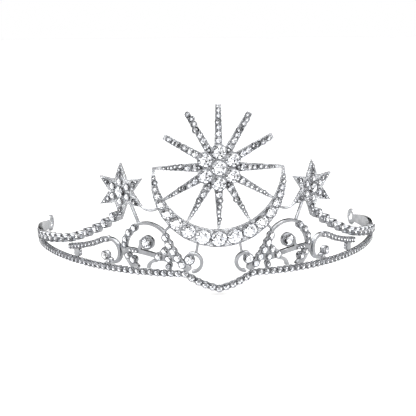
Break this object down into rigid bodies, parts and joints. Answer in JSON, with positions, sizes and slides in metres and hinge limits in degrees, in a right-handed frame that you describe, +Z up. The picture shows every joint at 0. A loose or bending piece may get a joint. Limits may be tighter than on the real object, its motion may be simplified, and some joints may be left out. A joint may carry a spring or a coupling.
{
  "type": "bridal tiara",
  "caption": "Curved rhinestone tiara: a starburst held in a crescent, side stars and open scrolls on a stone-set rail that dips to a V and ends in ring loops.",
  "frame": {"origin": "centre of the whole object's box, at the level it stands on", "axes": "+Z up, the front of the tiara faces -Y, +X is to the right when looking at the front"},
  "size_m": [0.1508, 0.111, 0.0688],
  "materials": {
    "silver_metal": "bright rhodium-coloured plate on cast alloy, polished",
    "crystal": "clear faceted crystal with a silvered back"
  },
  "bodies": {
    "root": {"base_rail": "silver_metal", "base_rail_stones": "crystal", "chain_stones": "crystal", "crescent_setting": "silver_metal", "crescent_stones": "crystal", "curl_bezel_stones": "crystal", "end_band_stones": "crystal", "left_centre_curl": "silver_metal", "left_crescent_strut": "silver_metal", "left_diagonal_strut": "silver_metal", "left_end_band": "silver_metal", "left_end_ring": "silver_metal", "left_inner_curl": "silver_metal", "left_leaf": "silver_metal", "left_loop_scroll": "silver_metal", "left_rail_link": "silver_metal", "left_side_scroll": "silver_metal", "left_spray": "silver_metal", "left_star_arm": "silver_metal", "left_star_post": "silver_metal", "left_star_setting": "silver_metal", "left_swoosh": "silver_metal", "left_upper_chain": "silver_metal", "loop_stones": "crystal", "right_centre_curl": "silver_metal", "right_crescent_strut": "silver_metal", "right_diagonal_strut": "silver_metal", "right_end_band": "silver_metal", "right_end_ring": "silver_metal", "right_inner_curl": "silver_metal", "right_leaf": "silver_metal", "right_loop_scroll": "silver_metal", "right_rail_link": "silver_metal", "right_side_scroll": "silver_metal", "right_spray": "silver_metal", "right_star_arm": "silver_metal", "right_star_post": "silver_metal", "right_star_setting": "silver_metal", "right_swoosh": "silver_metal", "right_upper_chain": "silver_metal", "side_scroll_stones": "crystal", "spray_stones": "crystal", "star_centre_stones": "crystal", "star_small_stones": "crystal", "starburst_centre_stone": "crystal", "starburst_cluster_cups": "silver_metal", "starburst_ray_stones": "crystal", "starburst_ring_stones": "crystal", "starburst_setting": "silver_metal"}
  },
  "joints": []
}
